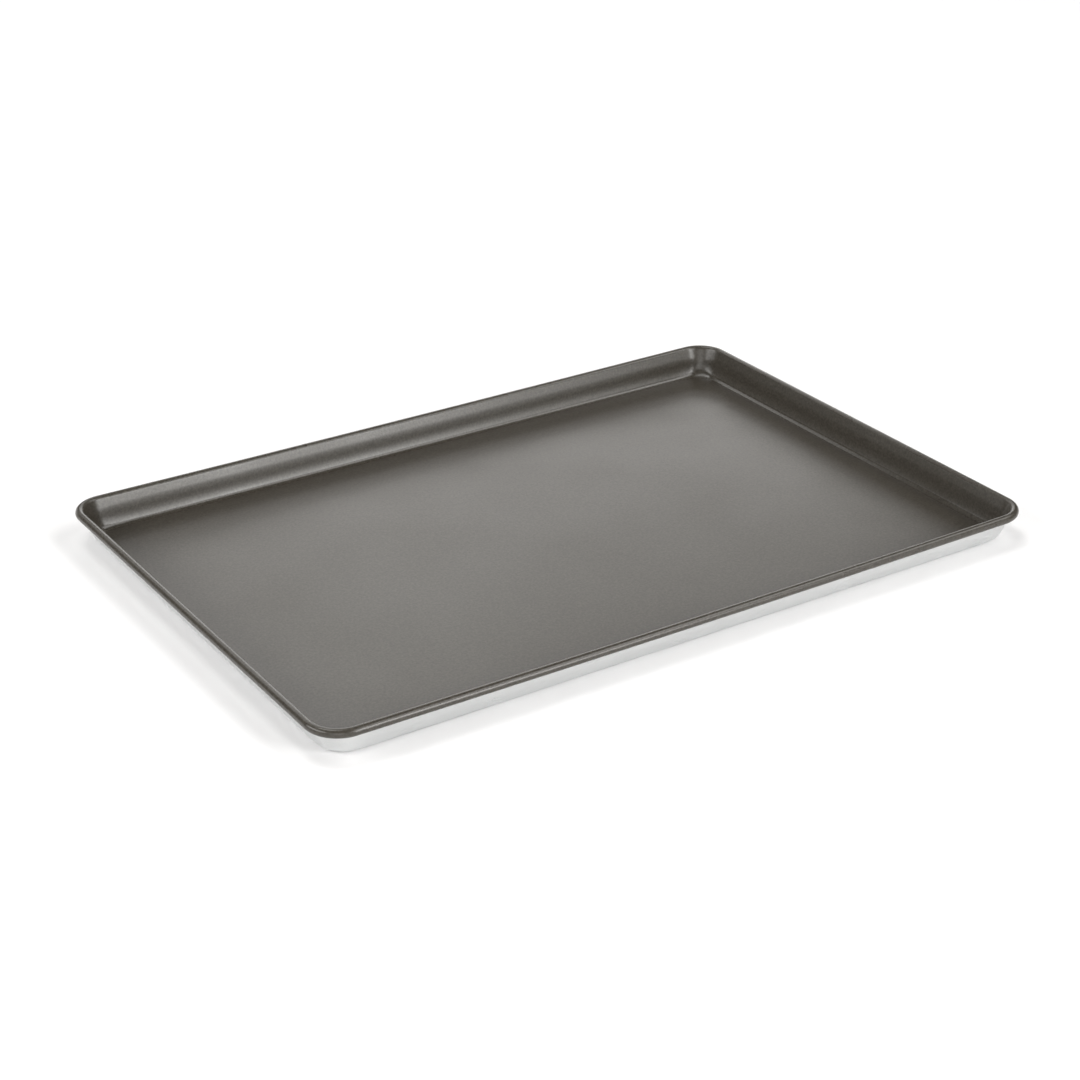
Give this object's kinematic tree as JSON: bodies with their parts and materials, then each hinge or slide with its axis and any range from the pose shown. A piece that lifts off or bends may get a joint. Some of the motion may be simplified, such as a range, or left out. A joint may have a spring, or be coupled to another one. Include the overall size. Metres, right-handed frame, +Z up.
{
  "type": "jelly roll pan",
  "caption": "Shallow oblong baking pan with leaning walls, round corners and a rim rolled over a wire, coated inside and over the rim, for baking and carrying thin sheet cakes.",
  "frame": {"origin": "on the surface that the pan stands on, under the middle of the pan", "axes": "+X along the long side, +Y along the short side, +Z up out of the open top"},
  "size_m": [0.4, 0.2704, 0.017],
  "materials": {
    "bare_sheet": "bare rolled sheet, bright satin with fine lengthwise drawing lines",
    "coating": "baked-on release coating, warm dark grey, satin with a fine speckle",
    "wire": "drawn and galvanised, dull"
  },
  "bodies": {
    "root": {"pan_shell": "bare_sheet", "nonstick_coating": "coating", "rim_wire": "wire"}
  },
  "joints": []
}
